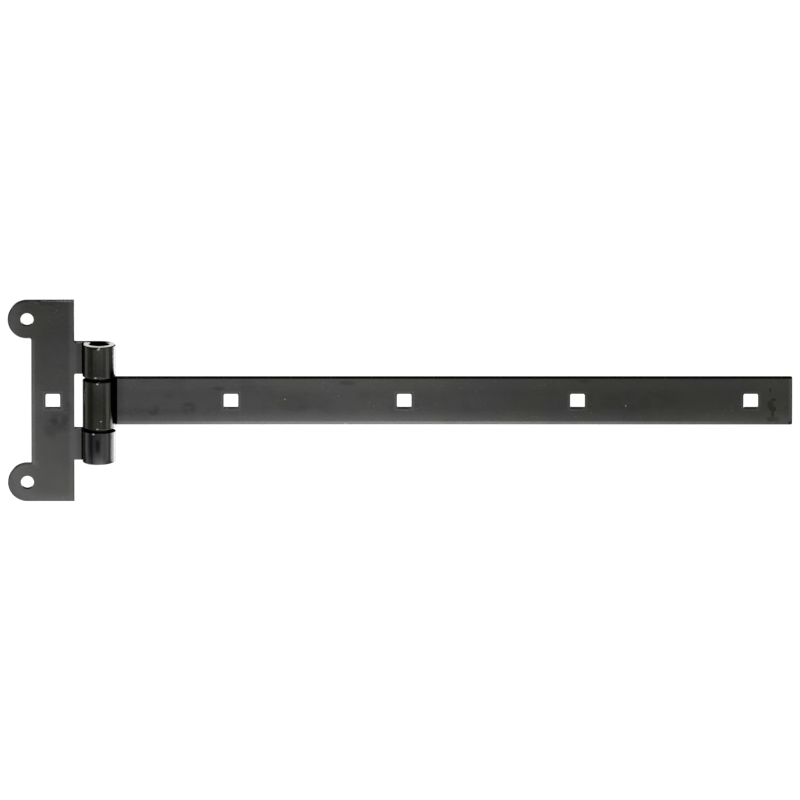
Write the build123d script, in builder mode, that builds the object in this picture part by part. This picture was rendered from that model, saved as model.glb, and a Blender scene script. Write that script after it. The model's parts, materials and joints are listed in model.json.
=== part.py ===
from build123d import *

from math import asin, degrees
import os

# Tee hinge: an upright post plate, a long strap and the pin that joins them.
# X runs along the strap, Y points into the post, Z is up along the pin.
# The origin is midway between the two ear holes, on the back face that lies against the post.

# Post plate, cut from flat steel and rolled at its two tabs
plate_thickness = 5.0
plate_height = 148.0
plate_width = 31.0
ear_radius = 14.0
ear_hole_diameter = 9.5
ear_hole_to_plate = 3.0
plate_to_pin = 18.0
knuckle_length = 23.5
plate_edge_break = 0.7
gap_edge_break = 0.3
inside_corner_radius = 1.2

# Strap, a flat bar with rounded long edges
strap_length = 500.0
strap_width = 35.0
strap_thickness = 5.0
strap_edge_radius = 0.7
strap_end_radius = 1.2

# Square holes for carriage bolts
bolt_square = 10.5
bolt_square_corner = 1.2
hole_edge_break = 0.2
strap_bolts = 4
first_bolt_from_pin = 95.0
last_bolt_from_end = 30.0

# Pin and its fits
pin_diameter = 14.0
pin_recess = 4.0
pin_end_chamfer = 0.8
turning_clearance = 0.08
end_float = 2.5
seam_gap = 0.5

# Places worked out from the sizes above
plate_left = ear_hole_to_plate
plate_right = plate_left + plate_width
plate_middle = (plate_left + plate_right) / 2
ear_height = plate_height / 2 - ear_radius
pin_x = plate_right + plate_to_pin
pin_y = -(pin_diameter / 2 + plate_thickness)
knuckle_start = strap_width / 2 + end_float
knuckle_end = knuckle_start + knuckle_length
knuckle_middle = (knuckle_start + knuckle_end) / 2
eye_bore_radius = pin_diameter / 2 + turning_clearance
strap_back = pin_y + eye_bore_radius + strap_thickness
strap_end = pin_x + strap_length
first_bolt = pin_x + first_bolt_from_pin
last_bolt = strap_end - last_bolt_from_end
bolt_pitch = (last_bolt - first_bolt) / (strap_bolts - 1)


def rolled_strip(bore_radius, thickness, flat_end_x):
    """Draws the section of a strip that comes in flat along the back and rolls once round the pin."""
    outer_radius = bore_radius + thickness
    turn = 1 if flat_end_x > pin_x else -1
    wrap = turn * (270 + degrees(asin((bore_radius - seam_gap) / outer_radius)))
    outside = CenterArc((pin_x, pin_y), outer_radius, 90, wrap)
    inside = CenterArc((pin_x, pin_y), bore_radius, 90, wrap)
    back_corner = (flat_end_x, pin_y + outer_radius)
    front_corner = (flat_end_x, pin_y + bore_radius)
    Line(back_corner, outside @ 0)
    Line(outside @ 1, inside @ 1)
    Line(inside @ 0, front_corner)
    Line(front_corner, back_corner)


# Post plate: flat body with ears, two tabs rolled into knuckles, then the holes
with BuildPart() as frame_plate:
    with BuildSketch(Plane.XZ) as blank:
        with Locations((plate_middle, 0)):
            Rectangle(plate_width, plate_height)
        with Locations((0, ear_height), (0, -ear_height)):
            Circle(ear_radius)
        for side in (1, -1):
            with Locations((plate_left / 2, side * (ear_height + ear_radius / 2))):
                Rectangle(plate_left, ear_radius)
        ear_corners = blank.vertices().group_by(SortBy.DISTANCE)[0]
        fillet(ear_corners, inside_corner_radius)
    extrude(amount=plate_thickness)
    for low in (knuckle_start, -knuckle_end):
        with BuildSketch(Plane.XY.offset(low)):
            with BuildLine():
                rolled_strip(pin_diameter / 2, plate_thickness, plate_middle)
            make_face()
        extrude(amount=knuckle_length)
    across = frame_plate.edges().filter_by(Axis.Y).filter_by_position(Axis.X, plate_right, plate_right)
    tab_corners = across.filter_by_position(Axis.Z, -knuckle_end, knuckle_end)
    fillet(tab_corners, inside_corner_radius)
    with BuildSketch(Plane.XZ):
        with Locations((0, ear_height), (0, -ear_height)):
            Circle(ear_hole_diameter / 2)
        with Locations((plate_middle, 0)):
            RectangleRounded(bolt_square, bolt_square, bolt_square_corner)
    extrude(amount=plate_thickness, mode=Mode.SUBTRACT)
    front_face, back_face = frame_plate.faces().filter_by(Axis.Y).sort_by(Axis.Y)
    hole_lips = front_face.inner_wires().edges()
    outline = front_face.outer_wire().edges() + back_face.outer_wire().edges()
    cut_edges = outline.filter_by(lambda e: e.center().X < pin_x - plate_edge_break)
    near_eye = cut_edges.filter_by(lambda e: e.center().X > plate_middle)
    gap_edges = near_eye.filter_by(lambda e: abs(e.center().Z) < knuckle_middle)
    chamfer(gap_edges, gap_edge_break)
    chamfer(cut_edges - gap_edges, plate_edge_break)
    chamfer(hole_lips, hole_edge_break)
frame_plate.part.label = "frame_plate"

# Strap: a flat bar rolled into an eye, its long edges rounded, with a row of square holes
with BuildPart() as strap:
    with BuildSketch(Plane.XY.offset(-strap_width / 2)):
        with BuildLine():
            rolled_strip(eye_bore_radius, strap_thickness, strap_end)
        make_face()
    extrude(amount=strap_width)
    bar_sides = strap.faces().filter_by(Axis.Z)
    long_edges = bar_sides.edges().filter_by(lambda e: e.length > 2 * strap_thickness)
    fillet(long_edges, strap_edge_radius)
    end_face = strap.faces().sort_by(Axis.X)[-1]
    fillet(end_face.edges(), strap_end_radius)
    with BuildSketch(Plane.XZ.offset(-strap_back)):
        with Locations(((first_bolt + last_bolt) / 2, 0)):
            with GridLocations(bolt_pitch, 0, strap_bolts, 1):
                RectangleRounded(bolt_square, bolt_square, bolt_square_corner)
    extrude(amount=strap_thickness, mode=Mode.SUBTRACT)
    front_face = strap.faces().filter_by(Axis.Y).sort_by(Axis.Y)[0]
    hole_lips = front_face.inner_wires().edges()
    chamfer(hole_lips, hole_edge_break)
strap.part.label = "strap"

# Pin: a plain round bar, held by the knuckles and sunk below their ends
with BuildPart() as hinge_pin:
    pin_length = 2 * (knuckle_end - pin_recess)
    with BuildSketch(Plane.XY.offset(-pin_length / 2)):
        with Locations((pin_x, pin_y)):
            Circle(pin_diameter / 2)
    extrude(amount=pin_length)
    chamfer(hinge_pin.edges().filter_by(GeomType.CIRCLE), pin_end_chamfer)
hinge_pin.part.label = "hinge_pin"

os.makedirs("parts", exist_ok=True)
export_step(frame_plate.part, "parts/frame_plate.step")
export_step(strap.part, "parts/strap.step")
export_step(hinge_pin.part, "parts/hinge_pin.step")
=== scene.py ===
# %% [markdown]
# # A tee hinge in black paint
# The packed solids already have the shape: a post plate with two rolled knuckles, a long strap
# rolled into an eye, and the pin. This lesson gives them their finish, a studio and a camera.
# Everything is in metres, in the frame the solids were packed in.
import json
import math
from collections.abc import Iterable
from typing import NamedTuple

import bmesh
import bpy
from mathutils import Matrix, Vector


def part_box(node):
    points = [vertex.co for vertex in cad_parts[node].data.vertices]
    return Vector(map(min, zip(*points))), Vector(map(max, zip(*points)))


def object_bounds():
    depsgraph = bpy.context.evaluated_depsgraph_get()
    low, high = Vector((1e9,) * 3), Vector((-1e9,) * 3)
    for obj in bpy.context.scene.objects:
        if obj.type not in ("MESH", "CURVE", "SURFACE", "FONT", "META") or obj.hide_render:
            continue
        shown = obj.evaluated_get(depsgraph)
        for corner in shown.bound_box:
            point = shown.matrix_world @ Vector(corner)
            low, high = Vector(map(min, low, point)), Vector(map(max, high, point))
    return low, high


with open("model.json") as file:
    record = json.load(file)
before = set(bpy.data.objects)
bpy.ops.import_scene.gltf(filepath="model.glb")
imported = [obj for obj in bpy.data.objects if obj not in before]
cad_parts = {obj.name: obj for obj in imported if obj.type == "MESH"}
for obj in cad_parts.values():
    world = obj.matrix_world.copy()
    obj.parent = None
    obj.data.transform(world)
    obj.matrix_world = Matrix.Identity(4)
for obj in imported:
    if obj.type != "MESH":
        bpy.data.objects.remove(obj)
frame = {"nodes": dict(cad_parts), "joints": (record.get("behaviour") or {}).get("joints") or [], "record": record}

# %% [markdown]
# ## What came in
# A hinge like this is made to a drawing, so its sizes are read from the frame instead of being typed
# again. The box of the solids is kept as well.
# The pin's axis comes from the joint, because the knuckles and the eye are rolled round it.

MM = 1000
cad_low, cad_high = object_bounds()
nodes = frame["nodes"]
record = frame["record"]
pin_axis = Vector(frame["joints"][0]["pos_m"]) * MM
print("box in mm:", [round(side * MM, 1) for side in cad_high - cad_low])

# %% [markdown]
# ## Arithmetic on shader sockets
# A finish is worked out from a few masks, and masks are easiest to read as sums. They could be wired
# by hand in the shader editor, node by node. Here `Wire` holds one socket and turns plain arithmetic
# into Math nodes, so a mask reads like a formula; `node` adds any other kind of node.


# %% Wire
class Wire:
    """One output socket in a node tree; arithmetic on it adds Math nodes."""

    def __init__(self, tree, socket=None):
        self.tree = tree
        self.socket = socket

    def node(self, kind, settings=None, values=None, output=0):
        """Adds a node: settings first, then a plain value or a Wire for each input."""
        made = self.tree.nodes.new(kind)
        for name, value in (settings or {}).items():
            setattr(made, name, value)
        for name, value in (values or {}).items():
            if isinstance(value, Wire):
                self.tree.links.new(value.socket, made.inputs[name])
            else:
                made.inputs[name].default_value = value
        return Wire(self.tree, made.outputs[output] if len(made.outputs) else None)

    def other(self, output):
        """Another output of the same node."""
        return Wire(self.tree, self.socket.node.outputs[output])

    def maths(self, operation, *numbers):
        """A Math node; its numbers are Wires or plain values."""
        return self.node("ShaderNodeMath", {"operation": operation}, dict(enumerate(numbers)))

    def __add__(self, number):
        return self.maths("ADD", self, number)

    def __sub__(self, number):
        return self.maths("SUBTRACT", self, number)

    def __rsub__(self, number):
        return self.maths("SUBTRACT", number, self)

    def __mul__(self, number):
        return self.maths("MULTIPLY", self, number)

    def __abs__(self):
        return self.maths("ABSOLUTE", self)

    __radd__ = __add__
    __rmul__ = __mul__

    def most(self, number):
        """The larger of the two."""
        return self.maths("MAXIMUM", self, number)

    def rise(self, start, end):
        """0 before start and 1 after end; it falls instead where start is the larger."""
        span = {"Value": self, "From Min": start, "From Max": end}
        return self.node("ShaderNodeMapRange", {"interpolation_type": "SMOOTHSTEP"}, span)


print("Wire can", [name for name in vars(Wire) if not name.startswith("_")])

# %% [markdown]
# ## Colours and grain
# Paint is never quite even. Noise textures give that unevenness without any picture file, and they are
# read at the object's own coordinates, so the grain stays on the metal when the strap swings. A noise
# that is stretched along one axis gives smears that run with the bar.

# %% Shader helpers
MIX_FIRST, MIX_SECOND, MIX_COLOUR = 6, 7, 2
NOISE_MIDDLE = 0.5
PLAIN, SOFT, EVEN, CLOUDY, RAGGED = 0.0, 1.0, 2.0, 3.0, 4.0


def mixed(amount, first, second):
    """A colour between two colours."""
    values = {0: amount, MIX_FIRST: first, MIX_SECOND: second}
    return amount.node("ShaderNodeMix", {"data_type": "RGBA"}, values, MIX_COLOUR)


def grain(place, scale=1.0, detail=EVEN, stretch=(1.0, 1.0, 1.0)):
    """Noise from 0 to 1, drawn out along the axes whose stretch is small."""
    pulled = place.node("ShaderNodeVectorMath", {"operation": "MULTIPLY"}, {0: place, 1: stretch})
    values = {"Vector": pulled, "Scale": scale, "Detail": detail}
    return place.node("ShaderNodeTexNoise", {}, values)


def new_material(name):
    """An empty material and a Wire to start its nodes from."""
    material = bpy.data.materials.new(name)
    material.use_nodes = True
    material.node_tree.nodes.clear()
    return material, Wire(material.node_tree)


def coordinates(start, unit=MM):
    """The object's own coordinates, and each axis in millimetres or another unit."""
    place = start.node("ShaderNodeTexCoord", output="Object")
    axes = start.node("ShaderNodeSeparateXYZ", {}, {0: place})
    return place, [axes.other(axis) * unit for axis in "XYZ"]


print("pieces to finish:", list(nodes))

# %% [markdown]
# ## Places on a piece
# Marks and bands sit at known places, such as a nick on a knuckle or the pale foot of the plate. They
# could be painted on an image, but an image has a fixed sharpness and needs a map of the surface. Here
# a mark is a round spot, and a band is a patch: an amount with a soft ramp along each axis it depends on.

# %% Places
SPOT_EDGE = (1.0, 0.1)


class Patch(NamedTuple):
    """An amount, and the ramps (start, end) along each axis that fade it in."""

    amount: float
    x: Iterable = ()
    y: Iterable = ()
    z: Iterable = ()


def patched(axes, patches):
    """Adds up patches over a piece; a patch without ramps counts everywhere."""
    total = 0.0
    for patch in patches:
        layer = patch.amount
        for axis, ramps in zip(axes, (patch.x, patch.y, patch.z)):
            for start, end in ramps:
                layer = axis.rise(start, end) * layer
        total = layer + total
    return total


def spots(x, z, places):
    """1 in the middle of every spot of a list of (middle, size) and 0 beyond its size."""
    total = 0.0
    for (middle_x, middle_z), (size_x, size_z) in places:
        across = (x - middle_x) * (1 / size_x)
        along = (z - middle_z) * (1 / size_z)
        total = (across * across + along * along).rise(*SPOT_EDGE).most(total)
    return total


def distance(across, along):
    """How far a place is from a point, from its two offsets."""
    return across.maths("SQRT", across * across + along * along)


print("a patch has", Patch._fields)

# %% [markdown]
# ## Black paint
# Such hinges are dipped or sprayed with one coat of black gloss over mill steel. The coat is very
# dark, so nearly all that is seen is reflection: its evenness, its roughness and its faint orange
# peel make the picture. The colour wanders a little between olive and blue black, with some dust on
# it, paler paint where the coat is thin and bare steel where it is gone; the same bright steel colour
# also paints small glints on some rims. One flat black would do from afar, but it looks like plastic close by.

# %% Paint colour
OLIVE_BLACK = (0.0105, 0.0106, 0.0040, 1)
BLUE_BLACK = (0.0056, 0.0062, 0.0076, 1)
OLIVE_TO_BLUE = (0.38, 0.62)
DUST = (0.10, 0.10, 0.095, 1)
DUST_AMOUNT = 0.6
WORN = (0.16, 0.16, 0.155, 1)
# Bright steel colour, also used for painted glints
BRIGHT_STEEL_AND_GLINT = (0.76, 0.75, 0.73, 1)
DUST_SCALE, DUST_CUT = 650.0, (0.775, 0.80)
DUSTY_SCALE, DUSTY_CUT = 40.0, (0.5, 0.62)


def paint_colour(place, mottle, own):
    """Olive to blue black, with dust, thin worn paint, and bright steel and painted glints over it."""
    dusty = grain(place, DUSTY_SCALE).rise(*DUSTY_CUT)
    dust = grain(place, DUST_SCALE, PLAIN).rise(*DUST_CUT) * dusty
    colour = mixed((mottle - own["olive"]).rise(*OLIVE_TO_BLUE), OLIVE_BLACK, BLUE_BLACK)
    colour = mixed(dust * DUST_AMOUNT, colour, DUST)
    colour = mixed(own["worn"], colour, WORN)
    return mixed(own["cut"], colour, BRIGHT_STEEL_AND_GLINT)


print("blacks run from", OLIVE_BLACK[:3], "to", BLUE_BLACK[:3])

# %% [markdown]
# ## How the coat lies
# Pressed and rolled steel is never quite flat, and gloss paint shows it: a face that tips by a degree
# mirrors another part of the room. Moving vertices by hundredths of a millimetre would show the same,
# but the solids stay as packed, so the paint tips the normals instead, with `lean_x` and `lean_z`.
# Ripples and orange peel from the spray go on top as a bump.

# %% Paint surface
RIPPLE_SCALE, RIPPLE_DEPTH = 14.0, 0.0005
PEEL_SCALE, PEEL_DEPTH = 420.0, 0.00004
WAVE_SCALE, WAVE_CUT, WAVE_LEAN = 75.0, (0.52, 0.68), 0.012


def leaning(start, lean_x, lean_z):
    """The surface normal, tipped by small amounts along the piece's own X and Z."""
    tip = start.node("ShaderNodeCombineXYZ", {}, {"X": lean_x, "Z": lean_z})
    turn = {"vector_type": "VECTOR", "convert_from": "OBJECT", "convert_to": "WORLD"}
    tip = start.node("ShaderNodeVectorTransform", turn, {0: tip})
    plain = start.node("ShaderNodeNewGeometry", output="Normal")
    tipped = start.node("ShaderNodeVectorMath", {"operation": "ADD"}, {0: plain, 1: tip})
    return start.node("ShaderNodeVectorMath", {"operation": "NORMALIZE"}, {0: tipped})


def paint_normal(start, place, own):
    """Soft ripples and fine orange peel on a face that leans a little."""
    height = grain(place, RIPPLE_SCALE) * RIPPLE_DEPTH + grain(place, PEEL_SCALE, SOFT) * PEEL_DEPTH
    waves = grain(place, WAVE_SCALE, CLOUDY).rise(*WAVE_CUT) * WAVE_LEAN
    face = leaning(start, own["lean_x"], own["lean_z"] + waves)
    return start.node("ShaderNodeBump", {}, {"Distance": 1.0, "Height": height, "Normal": face}, "Normal")


print("orange peel in mm:", PEEL_DEPTH * MM)

# %% [markdown]
# ## The coat as one material
# Both painted pieces get the same coat, so one function makes it and each piece hands in its own
# masks. Gloss is the Principled shader with a low roughness that wanders. Where two pieces shut the light
# in, it gives way to a painted shade of plain black, because a mirror in a crevice would still find a bright card.

# %% Paint
GLOSS_ROUGHNESS = 0.18
ROUGHER = {"dull": 0.22, "worn": 0.15, "cut": 0.3}
MOTTLE_SCALE, MOTTLE_ROUGHNESS, SMEAR_ROUGHNESS = 26.0, 0.10, 0.16
# Flat black that paints shade where pieces shut the light in
PAINTED_SHADE_BLACK = (0.0008, 0.0008, 0.0008, 1)
PAINT_IOR = 1.5


def painted(name, smear_stretch, layers):
    """Black paint; layers(place, axes) gives the masks that belong to one piece."""
    material, start = new_material(name)
    place, axes = coordinates(start)
    own = layers(place, axes)
    mottle = grain(place, MOTTLE_SCALE, CLOUDY)
    smear = grain(place, detail=CLOUDY, stretch=smear_stretch)
    roughness = (mottle - NOISE_MIDDLE) * MOTTLE_ROUGHNESS + GLOSS_ROUGHNESS
    roughness = roughness + (smear - NOISE_MIDDLE) * SMEAR_ROUGHNESS
    for mask, amount in ROUGHER.items():
        roughness = roughness + own[mask] * amount
    values = {"Base Color": paint_colour(place, mottle, own), "Roughness": roughness}
    values |= {"Normal": paint_normal(start, place, own), "IOR": PAINT_IOR}
    gloss = start.node("ShaderNodeBsdfPrincipled", {}, values, "BSDF")
    matte = start.node("ShaderNodeBsdfDiffuse", {}, {"Color": PAINTED_SHADE_BLACK})
    shader = start.node("ShaderNodeMixShader", {}, {0: own["crevice"], 1: gloss, 2: matte})
    start.node("ShaderNodeOutputMaterial", {}, {"Surface": shader})
    return material


print("gloss paint roughness", GLOSS_ROUGHNESS)

# %% [markdown]
# ## The flat of the post plate
# The plate was cut from sheet and its ears were cropped round. Shearing rolls the cut edges over a
# little and the sheet is not dead flat, so the gloss is darker at the head and paler at the foot and
# along the cut edges. A negative lean tips a face down, towards the bright foot of the front card.
# Greasy smudges lie below the square hole, and the metal is drawn in slightly round the hole itself.

# %% Plate face
FRONT = (-2.0, -4.0)
FLAT = (-6.5, -5.5)
BETWEEN_EARS = [(47.0, 44.0), (-47.0, -44.0)]
HEAD_TO_FOOT = (70.0, -60.0)
PLATE_FACE = [
    # The head, the foot and the dark arris at the very bottom
    Patch(-0.007, z=[(50.0, 66.0)]),
    Patch(-0.075, z=[(-66.0, -74.0)]),
    Patch(0.65, z=[(-73.2, -73.5)]),
    # A pale strip along the edge that carries the tabs
    Patch(-0.045, x=[(29.0, 32.0), (37.0, 34.5)]),
    # The ear side turns away, and more so towards the foot
    Patch(-0.024, x=[(14.0, -12.0)]),
    Patch(-0.054, x=[(14.0, -12.0)], z=[HEAD_TO_FOOT]),
    Patch(-0.035, x=[(-2.0, -11.0)]),
    # The cut edge between the ears is rolled over
    Patch(-0.056, x=[(6.5, 4.0)], z=BETWEEN_EARS),
    Patch(-0.126, x=[(6.5, 4.0)], z=[*BETWEEN_EARS, HEAD_TO_FOOT]),
    # A pale patch left of the square hole
    Patch(-0.03, x=[(15.0, 11.0)], z=[(14.0, 4.0), (-14.0, -4.0)]),
]
DARK_SMUDGE = [((23.2, -14.6), (8.0, 6.5))]
FAINT_SMUDGES = [((17.2, -21.5), (7.0, 7.0)), ((30.0, -6.5), (3.8, 9.0)), ((24.0, -16.0), (13.0, 10.0))]
FAINT_SMUDGE = 0.5
SMUDGE_SCALE, SMUDGE_CUT, SMUDGE_LEAN = 150.0, (0.22, 0.66), 0.075
LIP_RAMPS = ((5.9, 6.5), (7.5, 6.6))
PLATE_LIP_LEAN = -0.07
HOLES = [opening["box_m"] for opening in record["physics"]["openings"] if "bolt" in opening["name"]]
PLATE_HOLE, STRAP_HOLES = HOLES[:1], HOLES[1:]


def hole_lips(x, z, boxes):
    """1 on the metal just round square holes, fading out within a millimetre."""
    lips = 0.0
    for low, high in boxes:
        across = abs(x - (low[0] + high[0]) / 2 * MM)
        along = abs(z - (low[2] + high[2]) / 2 * MM)
        near = across.most(along)
        inner, outer = LIP_RAMPS
        lips = near.rise(*inner) * near.rise(*outer) + lips
    return lips


def plate_smudges(place, axes):
    """Greasy marks on the front of the plate."""
    x, y, z = axes
    marks = spots(x, z, DARK_SMUDGE) + spots(x, z, FAINT_SMUDGES) * FAINT_SMUDGE
    return marks * y.rise(*FRONT) * grain(place, SMUDGE_SCALE, RAGGED).rise(*SMUDGE_CUT)


print("square holes:", len(HOLES), "and bands on the plate:", len(PLATE_FACE))

# %% [markdown]
# ## The ears
# The arris on top of each round ear catches some light where the paint has drawn thin, as paint does
# on any sharp edge. The thin coat is a lighter colour there, and its bevel leans back to the face.

# %% Ears
EAR_HEIGHT = record["mounts"][0]["dims"]["spacing_y_mm"] / 2
EAR_SIDE = [(10.0, 6.0)]
EAR_TOPS = [
    Patch(1.0, x=EAR_SIDE, z=[(66.0, 69.0)]),
    Patch(1.0, x=EAR_SIDE, z=[(-55.0, -51.0), (-43.0, -45.0)]),
]
EAR_BEVEL = Patch(-0.6, y=[(-4.98, -4.9), (-4.2, -4.32)])
EAR_EDGE, EAR_WORN = (13.2, 13.7), 0.16
PLATE_TOP = cad_high.z * MM
PLATE_EDGE, PLATE_EDGE_WORN = (PLATE_TOP - 0.8, PLATE_TOP - 0.2), 0.1
CHIP_SCALE, CHIP_CUT = 200.0, (0.50, 0.62)


def thin_paint(place, axes):
    """Thin paint on the top and bottom edges of the plate and over its ears."""
    x, y, z = axes
    from_hole = distance(x, abs(z) - EAR_HEIGHT)
    chips = abs(z).rise(*PLATE_EDGE) * grain(place, CHIP_SCALE).rise(*CHIP_CUT) * PLATE_EDGE_WORN
    return chips + from_hole.rise(*EAR_EDGE) * patched(axes, EAR_TOPS) * EAR_WORN


print("ear holes in mm above and below the middle:", EAR_HEIGHT)

# %% [markdown]
# ## The knuckles
# Each tab is bent round a mandrel in a few strokes, which leaves faint flats along the roll. They show
# as upright bands, and the two knuckles differ because each was rolled by itself. Their sheared ends are
# given a bright steel colour in patches, and a few bright spots are painted glints on the rims.

# %% Knuckles
ROLL_FRONT = (-17.0, -21.0)
ROLL_SIDE = {"x": [(58.0, 59.6)], "y": [(-8.0, -10.0)]}
UPPER_HALF = (-1.0, 1.0)
UPPER_KNUCKLE = [
    # It tips back towards the eye, with a pale lip and a dark corner at the gap
    Patch(0.01),
    Patch(0.06, z=[(46.0, 20.0)]),
    Patch(-0.09, z=[(22.0, 20.6)]),
    Patch(0.55, z=[(20.4, 20.25)]),
    # Shade under the burr of the ring
    Patch(0.12, x=[(51.0, 49.5)], z=[(41.2, 42.4)]),
]
LOWER_KNUCKLE = [
    # A dark flat with a darker blot in it, and a pale lower end
    Patch(0.095, x=[(43.5, 46.5), (55.6, 52.8)], z=[(-43.0, -30.0)]),
    Patch(0.07, x=[(48.8, 50.2), (53.0, 51.6)], z=[(-43.0, -30.0), (-23.0, -27.0), (-38.0, -32.0)]),
    Patch(-0.09, z=[(-37.0, -43.5)]),
]
PLATE_SIDEWAYS = [
    # The edge between the ears and the right side of the lower knuckle
    Patch(0.5, x=[(4.1, 3.6)], z=[(46.0, 44.0), (-46.0, -44.0)]),
    Patch(0.05, z=[(-18.0, -20.0)], **ROLL_SIDE),
]
KNUCKLE_HUE = [Patch(-0.15), Patch(0.25, z=[(-20.0, 20.0)])]
# Painted glints: bright spots in the steel colour on the knuckle rims
KNUCKLE_PAINTED_GLINTS = [((51.6, 42.0), (1.3, 0.8)), ((49.5, 20.9), (1.2, 0.7)), ((47.9, -20.7), (1.3, 0.6))]
KNUCKLE_PAINTED_GLINTS += [((61.6, 20.6), (1.1, 0.7))]
PAINTED_GLINT = 0.6


def knuckle_leans(axes):
    """How the front of each knuckle tips."""
    upper = axes[2].rise(*UPPER_HALF)
    return upper * patched(axes, UPPER_KNUCKLE) + (1 - upper) * patched(axes, LOWER_KNUCKLE)


print("bands on the knuckles:", len(UPPER_KNUCKLE), len(LOWER_KNUCKLE), "nicks:", len(KNUCKLE_PAINTED_GLINTS))

# %% [markdown]
# ## Bright ends and dark joints
# The ends of the knuckles are rings in a bright steel colour round a bore painted black as shade. At the
# back, where the ring runs into the tab, no light gets to it. The same goes for the laps of the rolls,
# the inner ends beside the eye and the corner above the strap. They could be left to the light alone,
# but then every bevel in them that faces the lamp would glint, so their shade is painted in as flat
# black.

# %% Rings and painted shade
KNUCKLE_END = 43.5
RING_FACE = (KNUCKLE_END - 0.12, KNUCKLE_END - 0.04)
RING_OUTSIDE = (12.17, 12.04)
RING_FRONT = (-4.0, -6.5)
RING_BACK, RING_BACK_WIDTH = (-7.2, -5.8), (8.5, 6.5)
RUB_SCALE, RUB_CUT = 330.0, (0.28, 0.42)
# Painted shade in the bore and on the wall behind it
BORE = (7.28, 7.11)
BEHIND_BORE, BEHIND_BORE_DEPTH = (10.30, 9.70), (-6.0, -5.4)
LAP_DEPTH = [(-4.0, -4.8)]
# Flat black painted as shade where the knuckles' joints shut the light in
PLATE_PAINTED_SHADE = [
    # Painted shade on the inner ends of the knuckles, and on the top edge of the upper tab
    Patch(1.0, x=[(38.7, 39.3)], z=[(20.25, 20.1), (-20.25, -20.1)]),
    Patch(0.5, x=[(34.6, 35.4), (40.5, 39.5)], z=[(42.6, 43.0)]),
    # Painted shade where each roll laps on to its tab
    Patch(1.0, x=[(39.2, 39.6), (41.35, 40.75)], y=LAP_DEPTH, z=[(-1.0, 1.0)]),
    Patch(1.0, x=[(38.8, 39.2), (40.6, 40.0)], y=LAP_DEPTH, z=[(1.0, -1.0)]),
    # Painted shade in the corner between the upper knuckle and the strap
    Patch(1.0, x=[(59.4, 60.4), (63.2, 62.0)], z=[(31.0, 22.5), (10.0, 15.0)]),
]


def ring_masks(axes):
    """The bright front of the rings, and the painted shade at the back of the rings and in the bore."""
    x, y, z = axes
    from_pin = distance(x - pin_axis.x, y - pin_axis.y)
    ring = from_pin.rise(*RING_OUTSIDE) * abs(z).rise(*RING_FACE)
    back = ring * y.rise(*RING_BACK) * abs(x - pin_axis.x).rise(*RING_BACK_WIDTH)
    bore = from_pin.rise(*BORE) + from_pin.rise(*BEHIND_BORE) * y.rise(*BEHIND_BORE_DEPTH)
    return ring * y.rise(*RING_FRONT) * (1 - back), back + bore


print("dark joints on the plate:", len(PLATE_PAINTED_SHADE))

# %% [markdown]
# ## The post plate's coat
# All that belongs to the plate comes together here. One material for the whole piece keeps it a single
# coat of paint: the masks only say where it is dull, thin, bright steel, painted with a glint or painted dark as
# shade.

# %% Plate paint
PLATE_SMEAR = (150.0, 40.0, 9.0)


def plate_layers(place, axes):
    x, y, z = axes
    rolled = y.rise(*ROLL_FRONT)
    smudges = plate_smudges(place, axes)
    bright, dark = ring_masks(axes)
    bevels = patched(axes, [EAR_BEVEL]) * patched(axes, EAR_TOPS)
    lips = hole_lips(x, z, PLATE_HOLE) * y.rise(*FRONT)
    face = patched(axes, PLATE_FACE) + bevels + lips * PLATE_LIP_LEAN + smudges * SMUDGE_LEAN
    rubbed = grain(place, RUB_SCALE, CLOUDY).rise(*RUB_CUT)
    return {
        # Painted shade: flat black in the joints, at the back of the rings and in the bore
        "crevice": patched(axes, PLATE_PAINTED_SHADE) + dark,
        # Bright steel colour on the ring ends, and painted glints on the knuckle rims
        "cut": bright * rubbed + spots(x, z, KNUCKLE_PAINTED_GLINTS) * rolled * PAINTED_GLINT,
        "worn": thin_paint(place, axes),
        "dull": smudges,
        "olive": rolled * patched(axes, KNUCKLE_HUE),
        "lean_x": patched(axes, PLATE_SIDEWAYS),
        "lean_z": rolled * knuckle_leans(axes) + y.rise(*FLAT) * face,
    }


nodes["frame_plate"].data.materials[0] = painted("plate_black_paint", PLATE_SMEAR, plate_layers)
print("plate paint on", nodes["frame_plate"].name)

# %% [markdown]
# ## The bar and its eye
# The bar was rolled with soft long edges, so its face falls away slightly before the true rounding
# starts. That fall is only some hundredths of a millimetre, but a gloss face shows it as a dark band
# along the top and a pale one along the bottom. The eye carries the same faint flats as the knuckles.

# %% Bar and eye
STRAP_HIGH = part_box("strap")[1] * MM
EYE_FRONT = [(61.0, 57.5)]
EYE_MIDDLE = [(61.0, 57.5), (42.0, 48.0)]
EYE_FACE = [
    # It tips back, most on its lower half and least at its left side
    Patch(0.02, x=EYE_FRONT),
    Patch(0.02, x=EYE_MIDDLE),
    Patch(0.029, x=EYE_FRONT, z=[(18.0, 3.0)]),
    Patch(0.029, x=EYE_MIDDLE, z=[(18.0, 3.0)]),
    # The lower end and its corner
    Patch(-0.012, z=[(-5.0, -16.0)]),
    Patch(0.35, z=[(-16.5, -17.2)]),
]
BAR_FACE = [
    # The top edge, and the face just below it
    Patch(0.35, z=[(16.1, 17.0)]),
    Patch(-0.022, z=[(5.0, 13.0)]),
    # The bottom edge falls away in three steps
    Patch(-0.11, z=[(-5.0, -19.0)]),
    Patch(-0.09, z=[(-14.2, -15.6)]),
    Patch(0.05, z=[(-16.2, -17.0)]),
    # Less so near the eye, and the foot of the bend itself
    Patch(0.03, x=[(150.0, 95.0)], z=[(-4.0, -9.0)]),
    Patch(0.03, x=[(72.0, 66.0)]),
]
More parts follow.
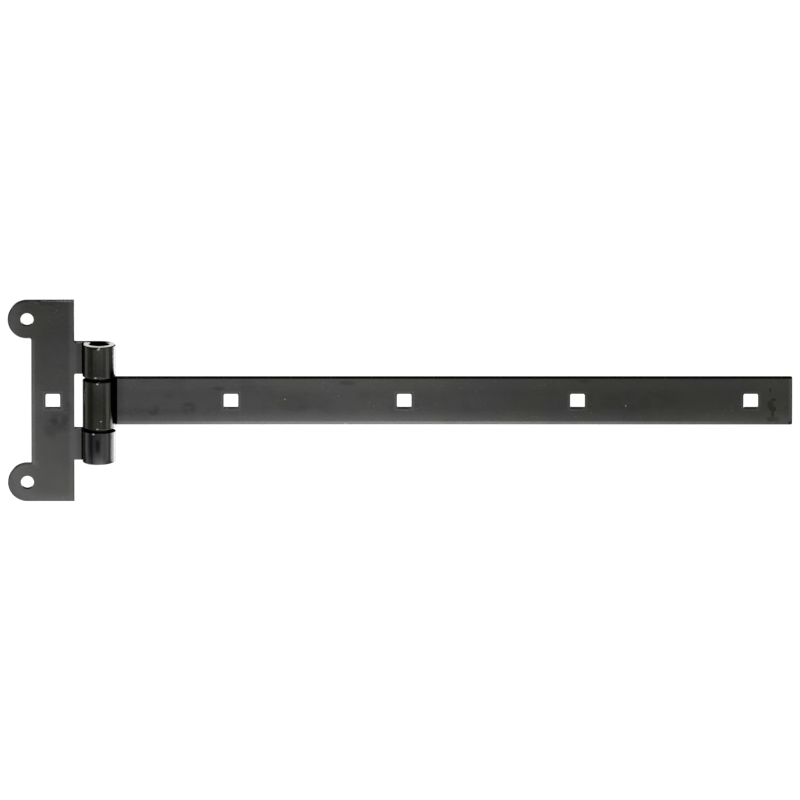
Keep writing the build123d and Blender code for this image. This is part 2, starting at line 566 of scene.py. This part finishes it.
STRAP_SIDEWAYS = [
    # The far end is rounded over, and its last edge looks back at the room
    Patch(0.2, x=[(STRAP_HIGH.x - 3.5, STRAP_HIGH.x - 1.5)]),
    Patch(-0.75, x=[(STRAP_HIGH.x - 0.9, STRAP_HIGH.x - 0.3)], y=[(-2.0, -3.0)]),
    # The right side of the eye, low down
    Patch(0.14, z=[(-8.0, -13.0)], **ROLL_SIDE),
]
STRAP_LIP_LEAN = -0.06
print("strap ends at", round(STRAP_HIGH.x, 1), "and is", round(STRAP_HIGH.z * 2, 1), "mm wide")

# %% [markdown]
# ## Marks on the strap
# Handling leaves dull smears near the far end, faint stains along the face and a few bright specks.
# Smears and stains change how the gloss reflects more than its colour, so they go into the roughness
# and the lean. Noise breaks them up, so that no spot keeps a clean outline.

# %% Strap marks
SCUFFS = [((536.0, 8.2), (0.9, 1.9)), ((538.5, 0.9), (2.4, 1.4)), ((536.3, -3.0), (3.2, 4.6))]
SCUFFS += [((538.0, -5.8), (3.2, 3.2)), ((537.7, -9.9), (1.9, 3.4))]
FAINT_SCUFFS = [((538.0, -13.6), (7.2, 3.4))]
FAINT_SCUFF = 0.75
SCUFF_SCALE, SCUFF_CUT, SCUFF_LEAN = 260.0, (0.65, 1.5), 0.16
STAINS = [((91.5, -6.5), (4.5, 5.5)), ((116.7, -5.1), (7.0, 5.5)), ((138.0, 9.2), (6.0, 1.6))]
STAINS += [((231.0, 13.4), (8.0, 2.6)), ((402.0, 14.6), (6.0, 1.6))]
FAINT_STAINS = [((101.6, 4.5), (5.0, 3.0)), ((170.0, 10.4), (22.0, 1.1)), ((197.0, 0.0), (26.0, 9.0))]
FAINT_STAINS += [((445.0, 1.0), (40.0, 9.0))]
STRONG_STAIN = 2.2
STAIN_SCALE, STAIN_CUT, STAIN_LEAN, STAIN_HUE = 130.0, (0.30, 0.60), 0.022, 0.1
# Painted glints: bright spots in the steel colour on the rims of the eye
EYE_PAINTED_GLINTS = [((50.8, 16.4), (1.1, 0.7)), ((50.8, -16.8), (1.0, 0.5)), ((53.4, -11.1), (0.9, 0.35))]
SPECKS = [((185.9, 1.3), (0.7, 0.7)), ((431.8, -3.5), (0.6, 0.6)), ((229.5, -16.6), (0.8, 0.9))]
SPECK_STEEL = 0.4


def strap_scuffs(place, axes):
    """The dull smear at the far end, whole in its middle and ragged at its rim."""
    x, y, z = axes
    marks = spots(x, z, SCUFFS).most(spots(x, z, FAINT_SCUFFS) * FAINT_SCUFF)
    return marks * y.rise(*FRONT) * (grain(place, SCUFF_SCALE, RAGGED) + marks).rise(*SCUFF_CUT)


def strap_stains(place, axes):
    """Faint cloudy stains along the face."""
    x, y, z = axes
    marks = spots(x, z, FAINT_STAINS) + spots(x, z, STAINS) * STRONG_STAIN
    return marks * y.rise(*FRONT) * grain(place, STAIN_SCALE, CLOUDY).rise(*STAIN_CUT)


print("marks on the strap:", len(SCUFFS + FAINT_SCUFFS + STAINS + FAINT_STAINS + SPECKS))

# %% [markdown]
# ## Where the strap meets its eye
# Behind the eye the bar comes away from the roll in a narrow corner, and the light is shut in there.
# The shade there is painted in: wide at the top, where the knuckle stands over it, and narrowing to a point at the
# bottom.

# %% Strap painted shade
# Painted shade on the bar's top edge beside the eye, and on the front of the eye's ends
STRAP_PAINTED_SHADE = [Patch(0.85, x=[(60.0, 66.0)], z=[(16.6, 17.2)])]
EYE_END_PAINTED_SHADE = [Patch(1.0, x=[(66.0, 64.0)], y=[(-5.4, -6.0)], z=[(17.3, 17.45)])]
# Painted shade in the narrow corner behind the eye
SHADE = Patch(1.0, x=[(65.4, 64.6)], y=[(-3.5, -4.5)])
SHADE_LEFT, SHADE_NARROWS, SHADE_FALL = (59.6, 60.6), 1.6, (0.0, -17.0)
SHADE_POINT, SHADE_POINT_SLOPE = (-18.525, -17.325), 0.21


def strap_painted_shade(axes):
    """Painted shade: 1 where the eye, the bar and the knuckles keep the light out."""
    x, y, z = axes
    left = (x - z.rise(*SHADE_FALL) * SHADE_NARROWS).rise(*SHADE_LEFT)
    above_point = (z + y * SHADE_POINT_SLOPE).rise(*SHADE_POINT)
    shade = patched(axes, [SHADE]) * left * above_point
    return shade.most(patched(axes, STRAP_PAINTED_SHADE) + patched((x, y, abs(z)), EYE_END_PAINTED_SHADE))


print("shade narrows by", SHADE_NARROWS, "mm on its way down")

# %% [markdown]
# ## The strap's coat
# The same paint again. It is a touch more olive towards the far end and on the eye, and thin along the
# lower edge of the bar.

# %% Strap paint
STRAP_SMEAR = (9.0, 40.0, 190.0)
HUE_MIDDLE, HUE_LENGTH = 330.0, 1500.0
EYE_HUE = [Patch(0.4, y=[(-8.0, -12.0)])]
LOWER_EDGE, EDGE_BELOW, EDGE_WORN = (1.3, 0.4), (0.0, -1.0), 0.2
EDGE_STRETCH, EDGE_CUT = (60.0, 200.0, 200.0), (0.56, 0.68)


def strap_layers(place, axes):
    x, y, z = axes
    eye = y.rise(*ROLL_FRONT)
    front = y.rise(*FRONT)
    scuffs = strap_scuffs(place, axes)
    stains = strap_stains(place, axes)
    face = patched(axes, BAR_FACE) + hole_lips(x, z, STRAP_HOLES) * front * STRAP_LIP_LEAN
    face = face + scuffs * SCUFF_LEAN + stains * STAIN_LEAN
    thin = (STRAP_HIGH.z - abs(z)).rise(*LOWER_EDGE) * z.rise(*EDGE_BELOW)
    chips = grain(place, detail=CLOUDY, stretch=EDGE_STRETCH).rise(*EDGE_CUT)
    return {
        # Painted shade: flat black behind the eye and on its ends
        "crevice": strap_painted_shade(axes),
        # Painted glints on the rims of the eye, and bright steel specks on the face
        "cut": spots(x, z, EYE_PAINTED_GLINTS) * eye * PAINTED_GLINT + spots(x, z, SPECKS) * front * SPECK_STEEL,
        "worn": thin * chips * EDGE_WORN,
        "dull": scuffs,
        "olive": (x - HUE_MIDDLE) * (1 / HUE_LENGTH) + stains * STAIN_HUE + patched(axes, EYE_HUE),
        "lean_x": patched(axes, STRAP_SIDEWAYS),
        "lean_z": eye * patched(axes, EYE_FACE) + y.rise(*FLAT) * face,
    }


nodes["strap"].data.materials[0] = painted("strap_black_paint", STRAP_SMEAR, strap_layers)
print("strap paint on", nodes["strap"].name)

# %% [markdown]
# ## The pin
# Only the sunk ends and two thin lines of the pin show. It is plain bar, blackened and dull, so it
# needs no more than a dark steel with faint rings from drawing, made by a noise squeezed along Z.

# %% Pin steel
PIN_DARK, PIN_LIGHT = (0.006, 0.006, 0.006, 1), (0.014, 0.013, 0.012, 1)
PIN_RINGS = (60.0, 60.0, 900.0)
PIN_ROUGHNESS, PIN_RING_ROUGHNESS = 0.45, 0.2

pin_steel, start = new_material("pin_dark_steel")
place, _ = coordinates(start)
rings = grain(place, detail=CLOUDY, stretch=PIN_RINGS)
values = {"Base Color": mixed(rings, PIN_DARK, PIN_LIGHT)}
values |= {"Roughness": rings * PIN_RING_ROUGHNESS + PIN_ROUGHNESS}
shader = start.node("ShaderNodeBsdfPrincipled", {}, values, "BSDF")
start.node("ShaderNodeOutputMaterial", {}, {"Surface": shader})
nodes["hinge_pin"].data.materials[0] = pin_steel
print("pin steel on", nodes["hinge_pin"].name)

# %% [markdown]
# ## Studio: the floor
# A hinge hangs in the air on its post, so the floor lies well below it. The camera sees a white floor.
# The gloss sees a floor that is pale in some places and dark in others, which is what draws the edges of
# the black metal. Real studios do that with sheets of card; here the floor's own glow says where.

# %% Floor
FLOOR_DROP = 0.28
FLOOR_HALF = 14.0
FLOOR_WHITE = (0.8, 0.8, 0.8, 1)
FLOOR_DARK = (0.02, 0.02, 0.02, 1)
FLOOR_ROUGHNESS = 0.9
FLOOR_CAMERA = 0.76
FLOOR_MIRRORED = [
    # Dim in front of the hinge and brighter behind it, with a bright pool below the strap
    Patch(0.1),
    Patch(0.9, y=[(-900.0, 900.0)]),
    Patch(0.5, y=[(800.0, 1400.0)]),
    Patch(7.0, x=[(-170.0, 250.0), (670.0, 250.0)], y=[(-900.0, -450.0), (900.0, 450.0)]),
]
LEFT_SHEET, LEFT_SHEET_REACH = [Patch(0.55, x=[(-500.0, -1000.0)])], (1850.0, 1450.0)


def staged(name, shape, material):
    """Links a mesh that belongs to the studio, not to the hinge."""
    mesh = bpy.data.meshes.new(name)
    shape.to_mesh(mesh)
    shape.free()
    piece = bpy.data.objects.new(name, mesh)
    mesh.materials.append(material)
    bpy.context.scene.collection.objects.link(piece)
    return piece


floor_material, start = new_material("floor_white")
seen = start.node("ShaderNodeLightPath", output="Is Camera Ray")
glossy = seen.other("Is Glossy Ray")
_, axes = coordinates(start)
from_pin = distance(axes[0] - pin_axis.x, axes[1] - pin_axis.y)
sheet = from_pin.rise(*LEFT_SHEET_REACH) * patched(axes, LEFT_SHEET)
glow = seen * FLOOR_CAMERA + glossy * (patched(axes, FLOOR_MIRRORED) + sheet)
values = {"Base Color": mixed(glossy, FLOOR_WHITE, FLOOR_DARK), "Roughness": FLOOR_ROUGHNESS}
values |= {"Emission Color": glow, "Emission Strength": 1.0}
shader = start.node("ShaderNodeBsdfPrincipled", {}, values, "BSDF")
start.node("ShaderNodeOutputMaterial", {}, {"Surface": shader})
floor_material.cycles.emission_sampling = "NONE"

flat = bmesh.new()
bmesh.ops.create_grid(flat, x_segments=1, y_segments=1, size=FLOOR_HALF)
bmesh.ops.translate(flat, verts=flat.verts, vec=(0, 0, cad_low.z - FLOOR_DROP))
staged("floor", flat, floor_material)
print("floor at", round(cad_low.z - FLOOR_DROP, 3))

# %% [markdown]
# ## Studio: the room
# To the camera the room is white, like the floor. The gloss sees a dark room overhead, and everything
# else gets an even grey fill. One background could not do all three, so Light Path tells them apart.

# %% Room
ROOM_IN_GLOSS = 0.03
ROOM_FILL = 0.35

room = bpy.data.worlds.new("studio_room")
room.use_nodes = True
room.node_tree.nodes.clear()
start = Wire(room.node_tree)
seen = start.node("ShaderNodeLightPath", output="Is Camera Ray")
glossy = seen.other("Is Glossy Ray")
unseen = glossy * ROOM_IN_GLOSS + (1 - glossy) * ROOM_FILL
shader = start.node("ShaderNodeBackground", {}, {"Color": seen + (1 - seen) * unseen})
start.node("ShaderNodeOutputWorld", {}, {"Surface": shader})
room.cycles.sampling_method = "NONE"
bpy.context.scene.world = room
print("room level in the gloss", ROOM_IN_GLOSS)

# %% [markdown]
# ## Studio: cards
# A wide lit card low in front is what the flat faces mirror: brighter towards its foot, and dimmer
# towards the strap's far end. A bright card behind on the right draws the pale flank of the knuckles,
# and a narrow one lights the rounded end of the strap. Lamps could do the same, but a card's light can
# change over its face, and that change is what gives a flat black face its slow shading.

# %% Cards
FRONT_LEVEL, FRONT_LEVEL_HEIGHT, FRONT_SLOPE = 0.75, -0.05, 9.0
FRONT_ACROSS = [
    Patch(0.44),
    Patch(0.56, x=[(0.50, 0.20)]),
    Patch(0.14, x=[(0.44, 0.52)]),
    Patch(0.2, x=[(0.14, 0.22), (0.34, 0.26)]),
]
FRONT_LEFT_END = [Patch(0.6, x=[(-0.62, -0.45)]), Patch(0.4, x=[(-0.62, -0.45), (-0.4, -0.05)])]
FLANK_LEVEL, FLANK_SLANT, FLANK_EDGE = 6.0, 4.5, (1.1, 1.3)
STRIP_LIGHT = (1.5, 1.5, 1.5, 1)
CARD_FOOT = -0.34


def front_light(axes):
    height = (FRONT_LEVEL_HEIGHT - axes[2]) * FRONT_SLOPE + FRONT_LEVEL
    return height.most(0.0) * patched(axes, FRONT_ACROSS) * patched(axes, FRONT_LEFT_END)


def flank_light(axes):
    return (axes[1] - axes[2] * FLANK_SLANT).rise(*FLANK_EDGE) * FLANK_LEVEL


def strip_light(axes):
    return STRIP_LIGHT


def card(name, corner, across, height, strength):
    """An upright lit rectangle that the camera can't see; strength(axes) is its light, in metres."""
    material, start = new_material(name)
    _, axes = coordinates(start, 1)
    shader = start.node("ShaderNodeEmission", {}, {"Color": strength(axes)})
    start.node("ShaderNodeOutputMaterial", {}, {"Surface": shader})
    shape = bmesh.new()
    first = shape.verts.new((*corner, CARD_FOOT))
    second = shape.verts.new((corner[0] + across[0], corner[1] + across[1], CARD_FOOT))
    foot = shape.edges.new((first, second))
    raised = bmesh.ops.extrude_edge_only(shape, edges=[foot])["geom"]
    raised = [item for item in raised if isinstance(item, bmesh.types.BMVert)]
    bmesh.ops.translate(shape, verts=raised, vec=(0, 0, height))
    piece = staged(name, shape, material)
    piece.visible_camera = False
    piece.visible_shadow = False


CARDS = {
    "front_card": ((-0.75, -0.6), (1.5, 0.0), 0.37, front_light),
    "flank_card": ((1.25, 0.0), (-0.60, 1.03), 0.28, flank_light),
    "strip_card": ((0.74, -0.6), (0.31, 0.26), 0.37, strip_light),
}
for name, (corner, across, height, strength) in CARDS.items():
    card(name, corner, across, height, strength)
print("cards:", list(CARDS))

# %% [markdown]
# ## Studio: lamps
# One soft lamp overhead lights dust, bare steel and the floor, and stays out of the gloss. One small
# lamp is there only for its reflection, the glint on bevels that face up and forward.

# %% Lamps
TOP_PLACE, TOP_SIZE, TOP_WATTS = (0.05, -0.15, 1.3), (0.35, 0.35), 11.0
GLINT_PLACE, GLINT_SIZE, GLINT_WATTS = (0.075, -0.205, 0.98), (0.06, 0.1), 0.55


def lamp(name, place, size, watts):
    """A rectangular lamp that shines straight down."""
    light = bpy.data.lights.new(name, "AREA")
    light.shape = "RECTANGLE"
    light.size, light.size_y = size
    light.energy = watts
    piece = bpy.data.objects.new(name, light)
    piece.location = place
    piece.visible_camera = False
    bpy.context.scene.collection.objects.link(piece)
    return piece


lamp("top_lamp", TOP_PLACE, TOP_SIZE, TOP_WATTS).visible_glossy = False
lamp("glint_lamp", GLINT_PLACE, GLINT_SIZE, GLINT_WATTS)

# %% [markdown]
# ## Camera
# The picture was taken with a long lens from a little above, square on to the plate: its upright edges
# stay upright and the knuckle tops show as thin ellipses. A parallel camera would be close, but a very
# long lens far away keeps the slight narrowing that a real one has.

# %% Camera
CAMERA_DOWN = math.radians(12)
CAMERA_AIM = Vector((0.26896, -0.0025, 0.0003))
CAMERA_AWAY = 23.088
CAMERA_LENS = 1440
CAMERA_SENSOR = 36

lens = bpy.data.cameras.new("camera")
lens.lens = CAMERA_LENS
lens.sensor_width = CAMERA_SENSOR
camera = bpy.data.objects.new("camera", lens)
away = Vector((0, -math.cos(CAMERA_DOWN), math.sin(CAMERA_DOWN)))
camera.location = CAMERA_AIM + away * CAMERA_AWAY
camera.rotation_euler = (-away).to_track_quat("-Z", "Y").to_euler()
bpy.context.scene.collection.objects.link(camera)
bpy.context.scene.camera = camera
bpy.context.scene.view_settings.view_transform = "Standard"
print("camera at", [round(side, 3) for side in camera.location])

# %% [markdown]
# ## Same size as it came in
# Paint has no thickness here, so the box has to be the one that came in.
